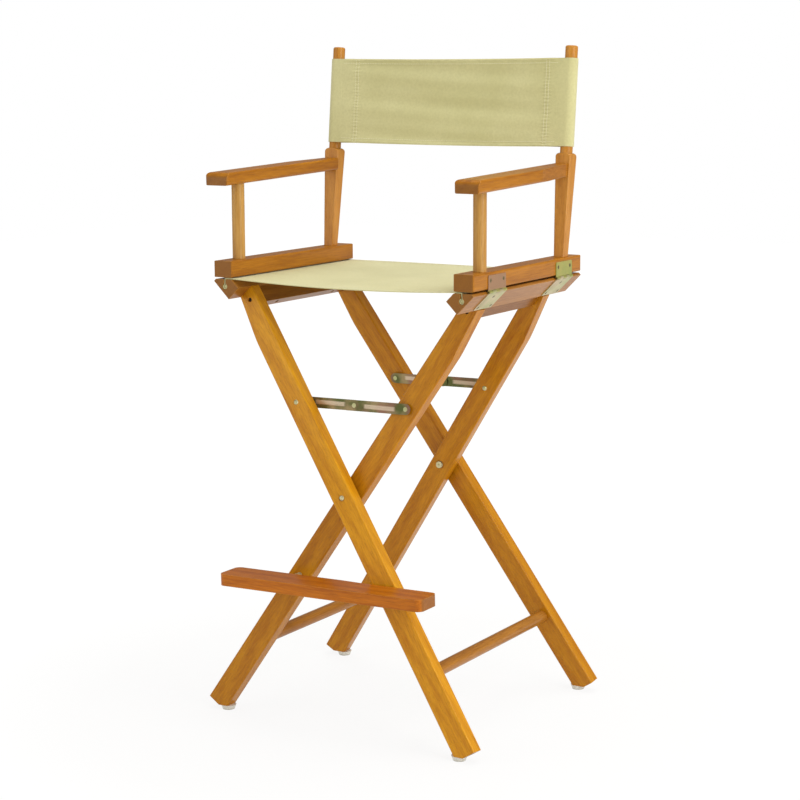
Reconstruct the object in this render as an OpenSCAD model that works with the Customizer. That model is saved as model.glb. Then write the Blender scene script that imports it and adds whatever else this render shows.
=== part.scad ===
// Tall folding director chair: two hinged seat rails on a scissor base, canvas seat and back.
// Millimetres. +Z up, the sitter faces -Y, and X = 0 is the middle of the chair.
// The outer frame holds the front-most and rear-most legs and the lower rail at -X.
// The inner frame holds the two legs between them and the lower rail at +X.

/* [Overall] */
// Height of the tips of the back posts
overall_h = 1156; // [1100:1:1250]
// Clear width between the two upper rails
seat_w = 431.4; // [350:0.1:540]
// Height of the underside of the upper rails
seat_h = 767.8; // [720:0.1:800]
// Length of the rails, front to back
rail_len = 390.1; // [340:0.1:480]
// Place of the rails' rear ends behind the middle of the feet
rail_back = 193; // [170:0.1:230]

/* [Rails] */
// Width of an upper rail
rail_w = 37.6; // [34:0.1:48]
// Height of an upper rail
rail_h = 28; // [24:0.1:36]
// Gap between an upper rail and its lower rail, which the seat canvas passes through
rail_gap = 3.2; // [3:0.1:5]
// Thickness of the slanting lower rail
lower_t = 28.5; // [26:0.1:32]
// Width of the lower rail's outer face
lower_face = 42.6; // [40:0.1:48]
// Bevel where the lower rail's outer face meets its flat top
lower_bevel = 3.7; // [3:0.1:4]
// Bore of the groove that holds the seat canvas
groove_d = 10; // [9:0.1:12]
// Width of the slot above the groove's bore
groove_slot = 4.4; // [3:0.1:5]

/* [Legs] */
// Height of the scissor pivots
pivot_h = 407; // [360:1:440]
// Width of a leg
leg_w = 39.8; // [33:0.1:48]
// Thickness of a leg
leg_t = 25; // [20:0.1:28]
// Gap between the two legs of a pair
leg_gap = 5.6; // [5.2:0.1:8]
// Splay of the legs towards front and back
splay = 5.88; // [3:0.01:7]
// Place of the outer legs' outside faces at floor level, from the middle of the feet
foot_y = 236.3; // [215:0.1:280]
// Width of a leg at its tapered top
leg_top_w = 29; // [25:0.1:32]
// Length of the taper below the top of a leg
leg_taper = 100; // [80:1:120]
// Length of the level cut under a leg
foot_flat = 18; // [12:0.1:26]
// Radius of the long edges of the legs
leg_round = 2.5; // [1:0.1:4]
// Diameter of a glide at its top
glide_d = 27; // [22:0.1:32]
// Height of a glide
glide_h = 8; // [6:0.1:10]
// Diameter of the stretchers
stretcher_d = 22.4; // [17:0.1:25]
// Height of the stretchers
stretcher_h = 132.5; // [110:0.5:160]
// Thickness of the aprons under the lower rails
apron_t = 18; // [15:0.1:22]
// Reach of the aprons, as a distance from the pivots along the legs
apron_reach = 368; // [350:0.1:380]

/* [Arms] */
// Width of an armrest
arm_w = 45; // [38:0.1:54]
// Thickness of an armrest
arm_t = 21.7; // [17:0.1:25]
// Height of the underside of an armrest at its front end
arm_h = 923.8; // [900:0.1:960]
// Rise of the armrests towards the back
arm_rise = 1.8; // [0:0.1:4]
// Setback of the armrest's inner side from the upper rail's inner face
arm_setback = 4; // [0:0.1:8]
// Width of an armrest at its rear end
arm_rear_w = 28; // [26:0.1:34]
// Length of the straight part of an armrest
arm_straight = 221; // [180:1:260]
// Diameter of the front posts
front_post_d = 22; // [18:0.1:25]
// Distance of the front posts from the rails' front ends
front_post_y = 51.3; // [40:0.1:60]
// Width of the back posts at the foot
back_foot_w = 20; // [17:0.1:24]
// Depth of the back posts at the foot
back_foot_depth = 18.5; // [16:0.1:24]
// Diameter of the back posts inside the canvas sleeves
back_dowel_d = 21.6; // [17:0.1:23]
// Width of the back posts at the shoulder
back_post_w = 29.5; // [24:0.1:32]
// Depth of the back posts at the shoulder
back_post_depth = 26; // [23:0.1:30]
// Distance of the back posts from the rails' rear ends
back_post_y = 45.7; // [40:0.1:60]
// Height of the shoulder on the back posts above the rail
shoulder = 178.5; // [160:0.1:182]
// Lean of the back posts
back_lean = 5.7; // [2:0.1:9]

/* [Canvas] */
// Height of the back canvas
back_canvas_h = 151; // [125:1:160]
// Height of the lower edge of the back canvas above the rail, along the post
back_canvas_low = 189.3; // [186:0.1:200]
// Thickness of the canvas solids
canvas_t = 2; // [1.6:0.1:2.2]
// Diameter of the rods in the seat canvas hems
seat_rod_d = 5.6; // [4.6:0.1:6.2]

/* [Hinges] */
// Length of a hinge
hinge_l = 60; // [50:1:70]
// Height of the upper hinge leaves above the pin
upper_leaf = 27.2; // [20:0.1:29]
// Length of the lower hinge leaves below the pin
lower_leaf = 42.4; // [36:0.1:46]
// Thickness of the leaves
leaf_t = 1.5; // [1.4:0.1:1.8]
// Outer diameter of the knuckles
knuckle_d = 4.6; // [4.4:0.1:5]
// Diameter of the hinge pins
hinge_pin_d = 2.2; // [1.6:0.1:2.4]

/* [Braces] */
// Height of the brace rivets above the pivots, measured up the leg plane
brace_h = 153.8; // [120:0.1:170]
// Width of a brace link
link_w = 18.5; // [15:0.1:21]
// Thickness of a brace link
link_t = 1; // [0.9:0.1:1.1]
// Length of the square tab past the middle rivet
link_tab = 15; // [10:0.1:18]

/* [Footrest] */
// Length of the footrest board
footrest_l = 400; // [330:1:440]
// Thickness of the footrest board
footrest_t = 20; // [16:0.1:23]
// Depth of the footrest board
footrest_d = 58; // [45:0.1:70]
// Height of the footrest's pivot
footrest_h = 259; // [240:1:280]
// Length of the board beyond its pivot
footrest_over = 106; // [90:1:120]
// Slope of the board, the free end being higher
footrest_slope = 0.9; // [0:0.1:2]

/* [Hidden] */

wood = "#bf8530";
shaded_wood = "#a3621f";
zinc = "#c9bd8d";
canvas = "#cdc79a";
white_plastic = "#e4e2d8";

eps = 0.01;
far = 400;          // longer than any part that a cutting block has to clear
facets = 48;
clear = 0.3;        // gap between pieces on different bodies
fit_gap = 0.1;      // radial play of pins, tenons and screws in their holes

// Upper rails and hinge pins
outer_x = seat_w / 2 + rail_w;
rail_front = rail_back - rail_len;
rail_top = seat_h + rail_h;
edge_round = 3;
pin_x = outer_x + 2;
pin_z = seat_h - 4.2;
hinge_ys = [rail_front + 77, rail_back - 69];

// Lower rail outline, worked out from its outer top corner
top_z = seat_h - rail_gap;
lower_outer = [outer_x, top_z - lower_bevel];
lower_corner = lower_outer - lower_face * [sin(45), cos(45)];
lower_inner = lower_corner + lower_t * [-sin(45), cos(45)];
leaf_face = (lower_outer[0] - pin_x) * sin(45) - (lower_outer[1] - pin_z) * cos(45);
knuckle_l = hinge_l / 5;
groove_x = outer_x - 22.3;
groove_z = top_z - 12.6;

// Leg lines. The leg's inner edge stands a little past the lower rail's inner corner.
leg_overhang = 1.3;
rise = lower_inner[1] - pivot_h;
plane_rise = rise / cos(splay);
lean = atan(lower_inner[0] / plane_rise)
    + asin((leg_w / 2 - leg_overhang) / norm([lower_inner[0], plane_rise]));
front_lean = atan(tan(lean) / cos(splay));
pivot_y = -(foot_y - pivot_h * tan(splay));
foot_v = (pivot_h - glide_h) / cos(splay);
foot_edge = foot_v * tan(lean) - leg_w / 2 / cos(lean);
leg_below = (foot_edge + foot_flat) * sin(lean) + foot_v * cos(lean);
glide_x = foot_edge + 5;
pivot_d = 6;
pivot_nut_seat = pivot_y + (2 * leg_t + leg_gap) / cos(splay) - 0.9;
top_s = plane_rise / cos(lean);

// Screws that tie the leg tops to the aprons
tie_v = 322;
tie_x = tie_v * tan(lean) - 5.5;
apron_screw_l = top_s - apron_reach + 8;

// Stretchers
stretcher_x = (pivot_h - stretcher_h) * tan(front_lean);
tenon_d = 12;
tenon_l = 12;

// Arms and posts
post_x = outer_x - 16.8;
arm_x = seat_w / 2 + arm_setback;
arm_front = rail_front - 3.2;
front_post_at = rail_front + front_post_y;
back_post_at = rail_back - back_post_y;
post_tenon = 13;
dowel_len = (overall_h - rail_top) / cos(back_lean);

// Braces lie in the gap between the legs of a pair
brace_x = brace_h * tan(lean);
inner_link_y = leg_t + 1;
outer_link_y = leg_t + 3.4;
level_step = (leg_t + leg_gap) * tan(splay);
link_len = norm([brace_x, level_step / 2]);
link_rise = asin(level_step / 2 / link_len);
rivet_d = 5;
rib_w = 9;
rib_h = 0.5;

// Footrest
board_x = -(pivot_h - footrest_h) * tan(front_lean);
board_back = -(foot_y - 240 * tan(splay)) - 0.6;
board_step = 2.8;
peg_d = 8;
peg_x = (pivot_h - footrest_h + footrest_t / 2) * tan(front_lean);
peg_z = footrest_h - footrest_t / 2 + (peg_x - board_x) * tan(footrest_slope) - peg_d / 2 - clear;
sleeve_d = 9;
sleeve_seat = pivot_y - (pivot_h - footrest_h) * tan(splay) + (leg_t + leg_gap) / cos(splay) + 0.7;
footrest_head = sleeve_seat + leg_t / cos(splay) - 1.4;

// The origin is under the middle of the whole chair, footrest included
seat_y = (footrest_d - board_back - foot_y + glide_h * tan(splay)) / 2;

// ---- placing ----

module at_seat() { translate([0, seat_y, 0]) children(); }

module on_side(side) { mirror([side == "left" ? 1 : 0, 0, 0]) children(); }

module at_end(end) { mirror([0, end == "rear" ? 1 : 0, 0]) children(); }

// The plane of a leg: X across, Y into the wood from its outside face, Z up the plane
module leg_plane(inner = false) {
    translate([0, pivot_y + (inner ? (leg_t + leg_gap) / cos(splay) : 0), pivot_h])
        rotate([-splay, 0, 0]) children();
}

// The axis of a back post, upwards from the top of the upper rail
module post_axis() {
    translate([post_x, back_post_at, rail_top]) rotate([-back_lean, 0, 0]) children();
}

// The armrest's own frame, at the front end of its underside
module arm_frame() { translate([0, arm_front, arm_h]) rotate([arm_rise, 0, 0]) children(); }

// The hinge pin's line, with Y along it
module pin_line(y) { translate([pin_x, y, pin_z]) children(); }

module rod_y(d, y0, y1) {
    translate([0, y0, 0]) rotate([-90, 0, 0]) cylinder(d = d, h = y1 - y0, $fn = facets);
}

module rounded(w, h, r) {
    translate([r, 0]) square([w - 2 * r, h]);
    translate([0, r]) square([w, h - 2 * r]);
    for (x = [r, w - r], y = [r, h - r]) translate([x, y]) circle(r = r, $fn = 32);
}

// A profile drawn in X and Z, drawn out from y0 to y1
module drawn_out(y0, y1) {
    translate([0, y1, 0]) rotate([90, 0, 0]) linear_extrude(y1 - y0) children();
}

// ---- cutting blocks ----

// All that lies beyond the face of the left lower rail that the leg tops meet
module beyond_rail_face() {
    translate([-lower_inner[0], 0, lower_inner[1]]) rotate([0, -45, 0])
        translate([-far / 2, -far, 0]) cube([far, 2 * far, far]);
}

// All that lies outside the inside faces of a pair of legs, front and rear
module beyond_legs(inner = false) {
    for (end = ["front", "rear"]) at_end(end) leg_plane(inner)
        translate([-far, leg_t - far, -2 * far]) cube([2 * far, far, 4 * far]);
}

// ---- legs and frames ----

module leg_bar() {
    translate([-leg_w / 2, 0, -leg_below]) linear_extrude(leg_below + top_s + 30)
        rounded(leg_w, leg_t, leg_round);
}

module leg_taper_cut() {
    slope = atan((leg_w - leg_top_w) / leg_taper);
    translate([-leg_w / 2, 0, top_s - leg_taper - 10]) rotate([0, slope, 0])
        translate([-far, -1, 0]) cube([far, leg_t + 2, far]);
}

// A leg of the outer pair; the inner pair is its mirror image in X, set behind it
module leg(inner, end) {
    difference() {
        at_end(end) mirror([inner ? 1 : 0, 0, 0]) difference() {
            leg_plane(inner) rotate([0, -lean, 0]) difference() {
                leg_bar();
                leg_taper_cut();
            }
            beyond_rail_face();
            translate([-far, -far, glide_h - far]) cube([2 * far, 2 * far, far]);
            leg_holes(inner);
        }
        if (end == "front" && inner) footrest_screw_hole();
        if (end == "front" && !inner) translate([peg_x, 0, peg_z])
            rod_y(peg_d + 2 * fit_gap, pivot_y - far, board_back + 17.5);
    }
}

module leg_holes(inner) {
    // Pivot bolt, with level seats for its head and nut on the sloping faces
    translate([0, 0, pivot_h]) {
        rod_y(pivot_d + 2 * fit_gap, pivot_y - 20, pivot_y + 80);
        if (inner) rod_y(15, pivot_nut_seat, pivot_nut_seat + 20);
        else rod_y(11, pivot_y - 20, pivot_y + 0.8);
    }
    // Brace rivet
    leg_plane(inner) translate([-brace_x, 0, brace_h]) rod_y(rivet_d + 2 * fit_gap, -1, leg_t + 1);
    // Tenon of the stretcher
    translate([stretcher_x, 0, stretcher_h])
        rod_y(tenon_d + 2 * fit_gap, stretcher_face(inner) - tenon_l - clear, 0);
    // Screw into the end of the apron, sunk below the face
    leg_plane(inner) translate([-tie_x, 0, tie_v]) {
        rod_y(4.2, -1, leg_t + 1);
        rod_y(7.6, -1, 5.6);
    }
    // Nail of the glide
    translate([glide_x, glide_at(inner), 0]) cylinder(d = 3.2, h = glide_h + 15, $fn = facets);
}

function stretcher_face(inner) =
    pivot_y - (pivot_h - stretcher_h) * tan(splay)
    + (inner ? leg_t + leg_gap : 0) / cos(splay) + leg_t / cos(splay);
function glide_at(inner) =
    -(foot_y - glide_h * tan(splay)) + ((inner ? leg_t + leg_gap : 0) + leg_t / 2) / cos(splay);

module lower_rail(side) {
    color(wood) at_seat() on_side(side) difference() {
        drawn_out(rail_front, rail_back) difference() {
            polygon([
                lower_outer, [outer_x - lower_bevel, top_z],
                [lower_inner[0] + top_z - lower_inner[1], top_z], lower_inner, lower_corner
            ]);
            translate([groove_x, groove_z]) circle(d = groove_d, $fn = facets);
            translate([groove_x - groove_slot / 2, groove_z]) square([groove_slot, 30]);
        }
        lower_leaf_screw_lines() rod_z(3.4, -6.5, 5);
        mirror([1, 0, 0]) apron_screw_lines(side == "right") rod_z(4.1, 20, apron_screw_l + 1);
    }
}

module rod_z(d, z0, z1) { translate([0, 0, z0]) cylinder(d = d, h = z1 - z0, $fn = facets); }

module apron(side) {
    inner = side == "right";
    color(shaded_wood) at_seat() mirror([inner ? 1 : 0, 0, 0]) difference() {
        translate([0, 0, pivot_h]) rotate([0, -front_lean, 0])
            translate([(leg_w - leg_top_w) / 2 - apron_t / 2, -200, apron_reach])
            cube([apron_t, 400, 100]);
        beyond_rail_face();
        beyond_legs(inner);
        for (end = ["front", "rear"]) at_end(end) leg_plane(inner)
            translate([-tie_x, 0, tie_v]) rod_y(3.4, 0, leg_t + 27);
        apron_screw_lines(inner) {
            rod_z(8, -1, 6);
            rod_z(4.2, -1, 80);
        }
    }
}

// Lines of the screws that run up through the apron on the -X side
module apron_screw_lines(inner) {
    reach = inner ? 62 : 90;
    for (y = [-reach, reach]) translate([0, y, pivot_h]) rotate([0, -front_lean, 0])
        translate([(leg_w - leg_top_w) / 2, 0, apron_reach]) children();
}

module stretcher(inner) {
    color(wood) at_seat() mirror([inner ? 1 : 0, 0, 0]) translate([stretcher_x, 0, stretcher_h]) {
        difference() {
            rod_y(stretcher_d, stretcher_face(inner) - 5, -stretcher_face(inner) + 5);
            translate([-stretcher_x, 0, -stretcher_h]) beyond_legs(inner);
        }
        rod_y(tenon_d, stretcher_face(inner) - tenon_l, -stretcher_face(inner) + tenon_l);
    }
}

module glides(inner) {
    color(white_plastic) at_seat() mirror([inner ? 1 : 0, 0, 0])
        for (end = ["front", "rear"]) at_end(end) translate([glide_x, glide_at(inner), 0]) {
            cylinder(d1 = glide_d - 6, d2 = glide_d, h = glide_h, $fn = facets);
            cylinder(d = 3, h = glide_h + 14, $fn = facets);
        }
}

// ---- arms ----

module upper_rail(side) {
    color(wood) at_seat() on_side(side) difference() {
        intersection() {
            drawn_out(rail_front, rail_back)
                translate([seat_w / 2, seat_h]) rounded(rail_w, rail_h, edge_round);
            translate([seat_w / 2, rail_front, seat_h - 1]) linear_extrude(rail_h + 2)
                rounded(rail_w, rail_len, edge_round);
        }
        translate([post_x, front_post_at, 0])
            rod_z(tenon_d + 2 * fit_gap, rail_top - post_tenon - 0.5, rail_top + 1);
        post_axis() rod_z(tenon_d + 2 * fit_gap, -post_tenon - 0.5, 5);
        upper_leaf_screw_lines() rod_z(3.4, -10, 5);
    }
}

module front_post(side) {
    color(wood) at_seat() on_side(side) translate([post_x, front_post_at, 0]) {
        difference() {
            rod_z(front_post_d, rail_top, arm_h + 30);
            translate([-post_x, -front_post_at, 0]) arm_frame()
                translate([0, -far, 0]) cube([far, 2 * far, far]);
        }
        rod_z(tenon_d, rail_top - post_tenon, rail_top + 5);
        rod_z(tenon_d, arm_h - 5, arm_h + 12);
    }
}

// A back post is a bar that tapers to its foot, with turned corners and a round dowel on top
module back_post(side) {
    color(wood) at_seat() on_side(side) {
        difference() {
            union() {
                post_axis() intersection() {
                    rotate_extrude($fn = facets) back_post_profile();
                    drawn_out(-far, far) back_post_taper(back_foot_w, back_post_w);
                    rotate([0, 0, 90]) drawn_out(-far, far)
                        back_post_taper(back_foot_depth, back_post_depth);
                }
                post_axis() rod_z(tenon_d, -post_tenon, 5);
            }
            difference() {
                translate([0, -far, rail_top - 30]) cube([far, 2 * far, 30]);
                post_axis() rod_z(tenon_d, -29, 5);
            }
            arm_screw_line() rod_y(4.2, -40, 40);
        }
    }
}

// One outline of the bar, continued a little below the foot
module back_post_taper(foot_w, top_w) {
    low = -4;
    low_w = foot_w + (top_w - foot_w) * low / shoulder;
    polygon([
        [-low_w / 2, low], [low_w / 2, low], [top_w / 2, shoulder],
        [top_w / 2, dowel_len + 1], [-top_w / 2, dowel_len + 1], [-top_w / 2, shoulder]
    ]);
}

// Turning outline: a cone that takes off the bar's corners, the shoulder and the dowel
module back_post_profile() {
    corner = 1.3;
    foot_r = norm([back_foot_w, back_foot_depth]) / 2 - corner;
    square_r = norm([back_post_w, back_post_depth]) / 2 - corner;
    dowel_r = back_dowel_d / 2;
    tip_r = 3;
    dome = 7;
    polygon(concat(
        [[0, -4], [foot_r, -4], [foot_r, 0]],
        [for (a = [0 : 15 : 90])
            [dowel_r + (square_r - dowel_r) * cos(a), shoulder - dome + dome * sin(a)]],
        [for (a = [0 : 15 : 90])
            [dowel_r - tip_r + tip_r * cos(a), dowel_len - tip_r + tip_r * sin(a)]],
        [[0, dowel_len]]
    ));
}

// The screw that comes through the back post into the armrest's end
module arm_screw_line() {
    height = arm_h + (back_post_at - arm_front) * tan(arm_rise) + arm_t / 2 - rail_top;
    translate([post_x - 3, back_post_at + height * tan(back_lean), rail_top + height]) children();
}

module armrest(side) {
    taper = atan((arm_w - arm_rear_w) / 126);
    post_taper = atan((back_post_depth - back_foot_depth) / 2 / shoulder);
    color(wood) at_seat() on_side(side) difference() {
        arm_frame() intersection() {
            drawn_out(0, far) translate([arm_x, 0]) rounded(arm_w, arm_t, 4);
            translate([arm_x, 0, -1]) linear_extrude(arm_t + 2) rounded(arm_w, far + 20, 3);
            arm_side_view();
        }
        arm_frame() translate([arm_x + arm_w, arm_straight, -1]) rotate([0, 0, taper])
            cube([far, far, arm_t + 2]);
        post_axis() rotate([post_taper, 0, 0])
            translate([-far / 2, -back_foot_depth / 2, -far]) cube([far, far, 2 * far]);
        translate([post_x, front_post_at, 0]) rod_z(tenon_d + 2 * fit_gap, arm_h - 5, arm_h + 13);
        arm_screw_line() rod_y(3.4, -55, 20);
    }
}

// The armrest's outline from the side, with its front end rounded over on top
module arm_side_view() {
    nose = 12;
    rotate([90, 0, 90]) linear_extrude(far) {
        square([far, arm_t - nose]);
        translate([nose, 0]) square([far, arm_t]);
        translate([nose, arm_t - nose]) circle(r = nose, $fn = facets);
    }
}

module arm_screw(side) {
    color(zinc) at_seat() on_side(side) arm_screw_line() {
        seat = back_post_depth / 2 + 0.1;
        rod_y(3.2, -50, seat);
        rod_y(4, -10, seat);
        difference() {
            rod_y(8, seat - eps, seat + 2.2);
            cross_slot(seat + 2.2);
        }
    }
}

// A cross recess, cut from the end of a screw head that faces +Y
module cross_slot(y) {
    for (turn = [0, 90]) translate([0, y, 0]) rotate([0, turn, 0])
        translate([-2.2, -1.2, -0.5]) cube([4.4, 2, 1]);
}

// ---- hinges ----

// Knuckles 1, 3 and 5 are on the upper leaf, 2 and 4 on the lower one
module knuckles(first) {
    for (i = [first : 2 : 4])
        rod_y(knuckle_d, i * knuckle_l + 0.15 - hinge_l / 2, (i + 1) * knuckle_l - 0.15 - hinge_l / 2);
}

module knuckle_gaps(first) {
    for (i = [first : 2 : 4])
        rod_y(knuckle_d + 1, i * knuckle_l - 0.15 - hinge_l / 2, (i + 1) * knuckle_l + 0.15 - hinge_l / 2);
}

// A leaf with its outer corners rounded, drawn up from the pin's line
module leaf(height) {
    linear_extrude(leaf_t) translate([-hinge_l / 2, 0]) {
        rounded(hinge_l, height, 3);
        square([hinge_l, height / 2]);
    }
}

module upper_leaves(side) {
    color(zinc) at_seat() on_side(side) for (y = hinge_ys) difference() {
        pin_line(y) {
            difference() {
                translate([outer_x - pin_x, 0, 0]) rotate([90, 0, 90]) leaf(upper_leaf);
                knuckle_gaps(1);
            }
            knuckles(0);
        }
        pin_line(y) rod_y(hinge_pin_d + 0.1, -hinge_l, hinge_l);
        upper_leaf_screw_lines() countersink(0);
    }
}

module lower_leaves(side) {
    color(zinc) at_seat() on_side(side) for (y = hinge_ys) difference() {
        pin_line(y) {
            difference() {
                rotate([0, 45, 0]) translate([leaf_face, 0, 0]) mirror([0, 0, 1])
                    rotate([90, 0, 90]) leaf(lower_leaf);
                knuckle_gaps(0);
            }
            knuckles(1);
        }
        pin_line(y) rod_y(hinge_pin_d + 0.1, -hinge_l, hinge_l);
        lower_leaf_screw_lines() countersink(0);
    }
}

module hinge_pins(side) {
    color(zinc) at_seat() on_side(side) for (y = hinge_ys) pin_line(y)
        rod_y(hinge_pin_d, -hinge_l / 2 - 0.5, hinge_l / 2 + 0.5);
}

// Screw places; children are drawn with Z out of the wood and Z = 0 on its face
module upper_leaf_screw_lines() {
    for (y = hinge_ys, dy = [-22, 22]) translate([outer_x, y + dy, pin_z + 0.68 * upper_leaf])
        rotate([0, 90, 0]) children();
}

module lower_leaf_screw_lines() {
    for (y = hinge_ys, dy = [-22, 0, 22]) pin_line(y + dy) rotate([0, 45, 0])
        translate([leaf_face, 0, dy == 0 ? -12 : -lower_leaf + 6]) rotate([0, 90, 0]) children();
}

module countersink(play) {
    translate([0, 0, -eps]) cylinder(d1 = 3.6 - play, d2 = 7 - play, h = leaf_t + 2 * eps, $fn = facets);
}

module leaf_screw(length) {
    difference() {
        union() {
            rod_z(3.2, -length, 0.5);
            translate([0, 0, 0.05]) cylinder(d1 = 3.3, d2 = 6.6, h = leaf_t - 0.1, $fn = facets);
        }
        for (turn = [0, 90]) rotate([0, 0, turn]) translate([-1.8, -0.4, leaf_t - 0.9]) cube([3.6, 0.8, 2]);
    }
}

// ---- fastenings of the frames ----

// Screws through the leg tops into the aprons, and up through the apron into the rail
module frame_screws(inner) {
    color(zinc) at_seat() mirror([inner ? 1 : 0, 0, 0]) {
        for (end = ["front", "rear"]) at_end(end) leg_plane(inner) translate([-tie_x, 0, tie_v])
            mirror([0, 1, 0]) {
                rod_y(3.2, -leg_t - 25, -5.4);
                difference() {
                    rod_y(7, -5.4, -3.1);
                    cross_slot(-3.1);
                }
            }
        apron_screw_lines(inner) {
            rod_z(7.4, 2, 5.5);
            rod_z(3.9, 5, apron_screw_l);
        }
    }
}

module pivot_bolts() {
    color(zinc) at_seat() {
        translate([0, 0, pivot_h]) {
            rod_y(pivot_d, pivot_y + 0.8, pivot_nut_seat + 7);
            rod_y(pivot_d, -pivot_nut_seat - 2, -pivot_y + 5);
        }
        // Domed head at the front
        translate([0, pivot_y + 0.8, pivot_h]) rotate([90, 0, 0]) intersection() {
            translate([0, 0, -2.2]) sphere(d = 11, $fn = facets);
            cylinder(d = 9, h = 10, $fn = facets);
        }
        // Pan head at the rear, on the inside of the frame
        translate([0, -pivot_nut_seat - clear, pivot_h]) mirror([0, 1, 0]) difference() {
            rod_y(12, 0, 4);
            cross_slot(4);
        }
    }
}

module pivot_nuts() {
    color(zinc) at_seat() difference() {
        union() {
            translate([0, pivot_nut_seat + clear, pivot_h]) rotate([-90, 0, 0])
                cylinder(d = 11.5, h = 5, $fn = 6);
            translate([0, -pivot_y - 0.8, pivot_h]) rotate([-90, 0, 0]) cylinder(d = 10.6, h = 5, $fn = 6);
        }
        translate([0, 0, pivot_h]) rod_y(pivot_d + 2 * fit_gap, -far, far);
    }
}

// Spacing washers between the legs, thin enough for the sloping faces
module pivot_washers() {
    washer_d = 16;
    washer_t = leg_gap / cos(splay) - washer_d * tan(splay) - 0.3;
    middle = pivot_y + (leg_t + leg_gap / 2) / cos(splay);
    color(zinc) at_seat() for (end = ["front", "rear"]) at_end(end) difference() {
        translate([0, 0, pivot_h]) rod_y(washer_d, middle - washer_t / 2, middle + washer_t / 2);
        translate([0, 0, pivot_h]) rod_y(pivot_d + 2 * fit_gap, -far, far);
    }
}

// ---- braces ----

// A link from its leg rivet at x = 0 to the middle rivet at x = link_len
module link_strip(tab) {
    difference() {
        union() {
            translate([0, 0, -link_w / 2]) cube([link_len + tab, link_t, link_w]);
            rod_y(link_w, 0, link_t);
            if (tab == 0) translate([link_len, 0, 0]) rod_y(link_w, 0, link_t);
            link_rib(-rib_h, 0.1);
        }
        for (x = [0, link_len]) translate([x, 0, 0]) rod_y(rivet_d + 2 * fit_gap, -1, link_t + 1);
        translate([0, link_t, 0]) link_rib(-rib_h, 0.1);
    }
}

// The pressed rib along a link: the arc of a wide round bar, cut off between y0 and y1
module link_rib(y0, y1) {
    rib_r = (pow(rib_w / 2, 2) + pow(rib_h, 2)) / (2 * rib_h);
    intersection() {
        translate([20, y0, -rib_w]) cube([link_len - 40, y1 - y0, 2 * rib_w]);
        translate([0, rib_r - rib_h, 0]) rotate([0, 90, 0])
            cylinder(r = rib_r, h = link_len, $fn = 2 * facets);
    }
}

module outer_link(end) {
    color(zinc) at_seat() at_end(end) leg_plane()
        translate([-brace_x, outer_link_y, brace_h]) rotate([0, -link_rise, 0]) {
            link_strip(0);
            translate([link_len, 0, 0]) {
                rod_y(8, link_t - eps, link_t + 0.6);
                rod_y(rivet_d + 1, 0.1, link_t);
            }
        }
}

module inner_link(end) {
    color(zinc) at_seat() at_end(end) leg_plane()
        translate([brace_x, inner_link_y, brace_h + level_step]) mirror([1, 0, 0])
            rotate([0, link_rise, 0]) link_strip(link_tab);
}

// The middle rivet is carried by the inner link and stops short of the outer link
module middle_rivet(end) {
    color(zinc) at_seat() at_end(end) leg_plane()
        translate([0, inner_link_y, brace_h + level_step / 2]) {
            rod_y(rivet_d, -0.1, link_t + 0.6);
            rod_y(8, -0.6, -0.1);
        }
}

module outer_leg_rivets() {
    color(zinc) at_seat() for (end = ["front", "rear"]) at_end(end) leg_plane()
        translate([-brace_x, 0, brace_h]) {
            rod_y(rivet_d, -0.5, outer_link_y + link_t + 0.3);
            rod_y(8, leg_t, outer_link_y - 0.1);
            rod_y(8, outer_link_y + link_t + 0.1, outer_link_y + link_t + 0.5);
            intersection() {
                translate([0, 2.5, 0]) sphere(r = 5, $fn = facets);
                rod_y(10, -4, 0);
            }
        }
}

module inner_leg_rivets() {
    color(zinc) at_seat() for (end = ["front", "rear"]) at_end(end) leg_plane(true)
        translate([brace_x, 0, brace_h]) {
            rod_y(rivet_d, inner_link_y - leg_t - leg_gap - 0.3, leg_t + 0.5);
            rod_y(8, inner_link_y - leg_t - leg_gap - 0.6, inner_link_y - leg_t - leg_gap - 0.1);
            rod_y(8, inner_link_y - leg_t - leg_gap + link_t + 0.1, 0);
            intersection() {
                translate([0, leg_t - 2.5, 0]) sphere(r = 5, $fn = facets);
                rod_y(10, leg_t, leg_t + 4);
            }
        }
}

// ---- footrest ----

module footrest_line() { translate([board_x, 0, footrest_h]) children(); }

module footrest_screw_hole() {
    footrest_line() {
        rod_y(pivot_d + 2 * fit_gap, -far, 0);
        rod_y(sleeve_d + 1, -far, sleeve_seat);
        rod_y(14, footrest_head, 0);
    }
}

module footrest() {
    color(shaded_wood) at_seat() footrest_line() rotate([0, -footrest_slope, 0]) difference() {
        translate([-footrest_over, board_back - footrest_d, -footrest_t / 2])
            linear_extrude(footrest_t) footrest_outline();
        rod_y(pivot_d + 2 * fit_gap, board_back - 44, 0);
    }
}

// The back edge slants forward before the leg that the free end rests on
module footrest_outline() {
    step_x = 214.5;
    corner = 11;
    rounded(footrest_l, footrest_d - board_step, corner);
    difference() {
        rounded(footrest_l, footrest_d, corner);
        polygon([
            [step_x, footrest_d], [step_x + 56, footrest_d - board_step],
            [footrest_l + 1, footrest_d - board_step - corner], [footrest_l + 1, footrest_d + 1],
            [step_x, footrest_d + 1]
        ]);
    }
}

module footrest_screw() {
    color(zinc) at_seat() footrest_line() {
        rod_y(pivot_d, board_back - 42, footrest_head + 1);
        difference() {
            rod_y(12, footrest_head, footrest_head + 4);
            cross_slot(footrest_head + 4);
        }
    }
}

module footrest_sleeve() {
    color(zinc) at_seat() footrest_line() difference() {
        rod_y(sleeve_d, board_back + clear, sleeve_seat);
        rod_y(pivot_d + 2 * fit_gap, -far, far);
    }
}

module footrest_peg() {
    color(shaded_wood) at_seat() translate([peg_x, 0, peg_z])
        rod_y(peg_d, board_back - 28, board_back + 17);
}

// ---- canvas ----

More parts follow.
